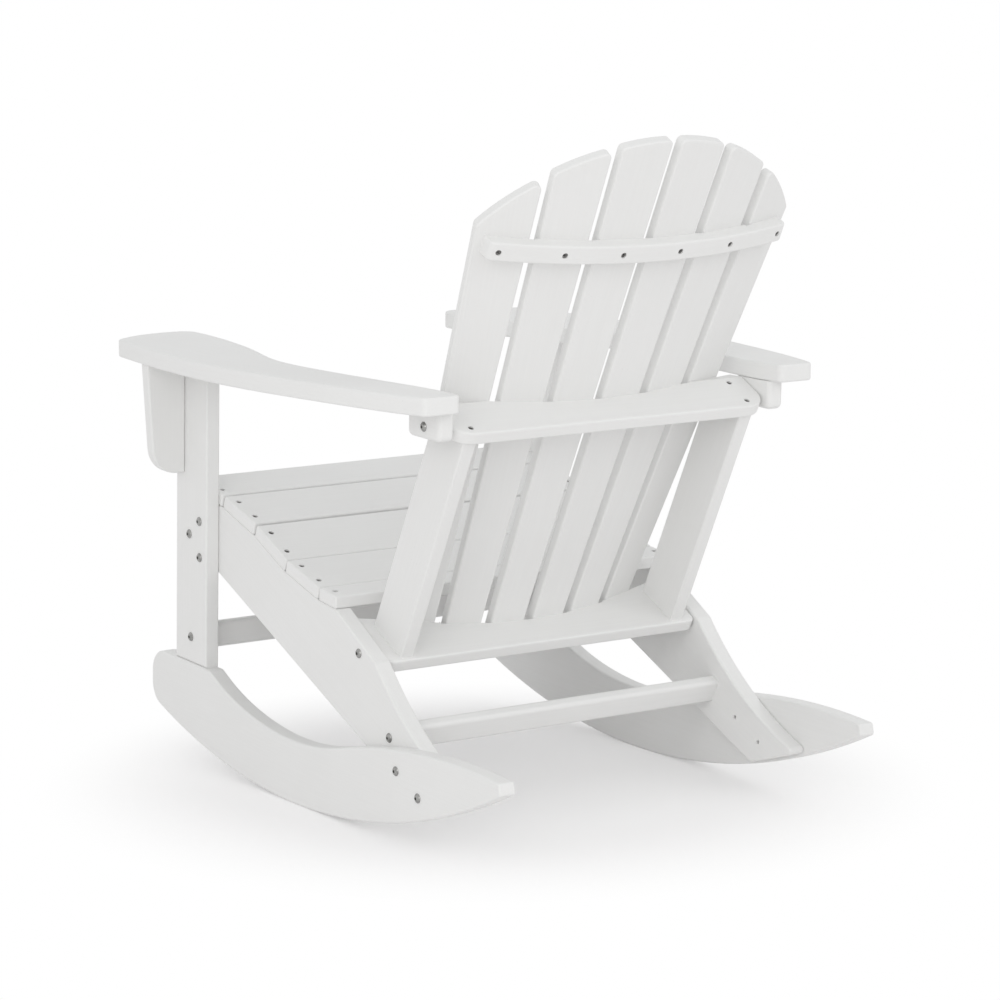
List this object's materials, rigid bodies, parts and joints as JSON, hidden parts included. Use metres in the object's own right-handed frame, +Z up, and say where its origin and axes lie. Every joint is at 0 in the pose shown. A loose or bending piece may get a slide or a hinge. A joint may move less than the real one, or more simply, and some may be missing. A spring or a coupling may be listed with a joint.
{
  "type": "rocking chair",
  "caption": "Garden rocking chair with a fanned, curved slat back, sloping slat seat, wide flat arms and two curved rockers, built of white plastic lumber boards.",
  "frame": {"origin": "centre of the bounding box at the floor, under the rockers, with the chair at rest in balance", "axes": "+X to the sitter's left, -Y to the chair's front, +Z up"},
  "size_m": [0.79, 0.9684, 0.9623],
  "materials": {
    "plastic_lumber": "matte, finely brushed",
    "stainless_bolts": "satin",
    "steel_screws": "satin",
    "brass_inserts": "satin"
  },
  "bodies": {
    "root": {"apron_screws": "steel_screws", "arm_block_bolts": "stainless_bolts", "arm_block_left": "plastic_lumber", "arm_block_right": "plastic_lumber", "arm_bracket_left": "plastic_lumber", "arm_bracket_right": "plastic_lumber", "arm_left": "plastic_lumber", "arm_right": "plastic_lumber", "arm_screws": "steel_screws", "back_slat_1": "plastic_lumber", "back_slat_2": "plastic_lumber", "back_slat_3": "plastic_lumber", "back_slat_4": "plastic_lumber", "back_slat_5": "plastic_lumber", "back_slat_6": "plastic_lumber", "back_slat_screws": "steel_screws", "back_upright_left": "plastic_lumber", "back_upright_right": "plastic_lumber", "brace_screws": "steel_screws", "bracket_screws": "steel_screws", "front_apron": "plastic_lumber", "front_crossbar": "plastic_lumber", "front_crossbar_bolts": "stainless_bolts", "front_leg_left": "plastic_lumber", "front_leg_right": "plastic_lumber", "leg_bolts": "stainless_bolts", "leg_foot_screws": "steel_screws", "lower_back_rail": "plastic_lumber", "lower_rail_bolts": "stainless_bolts", "mid_back_board": "plastic_lumber", "mid_board_screws": "steel_screws", "rear_crossbar": "plastic_lumber", "rear_crossbar_bolts": "stainless_bolts", "rocker_bolts": "stainless_bolts", "rocker_left": "plastic_lumber", "rocker_right": "plastic_lumber", "seat_screws": "steel_screws", "seat_slat_1": "plastic_lumber", "seat_slat_2": "plastic_lumber", "seat_slat_3": "plastic_lumber", "seat_slat_4": "plastic_lumber", "seat_slat_5": "plastic_lumber", "stringer_left": "plastic_lumber", "stringer_right": "plastic_lumber", "threaded_inserts": "brass_inserts", "upper_back_brace": "plastic_lumber", "upright_foot_screws": "steel_screws"}
  },
  "joints": []
}
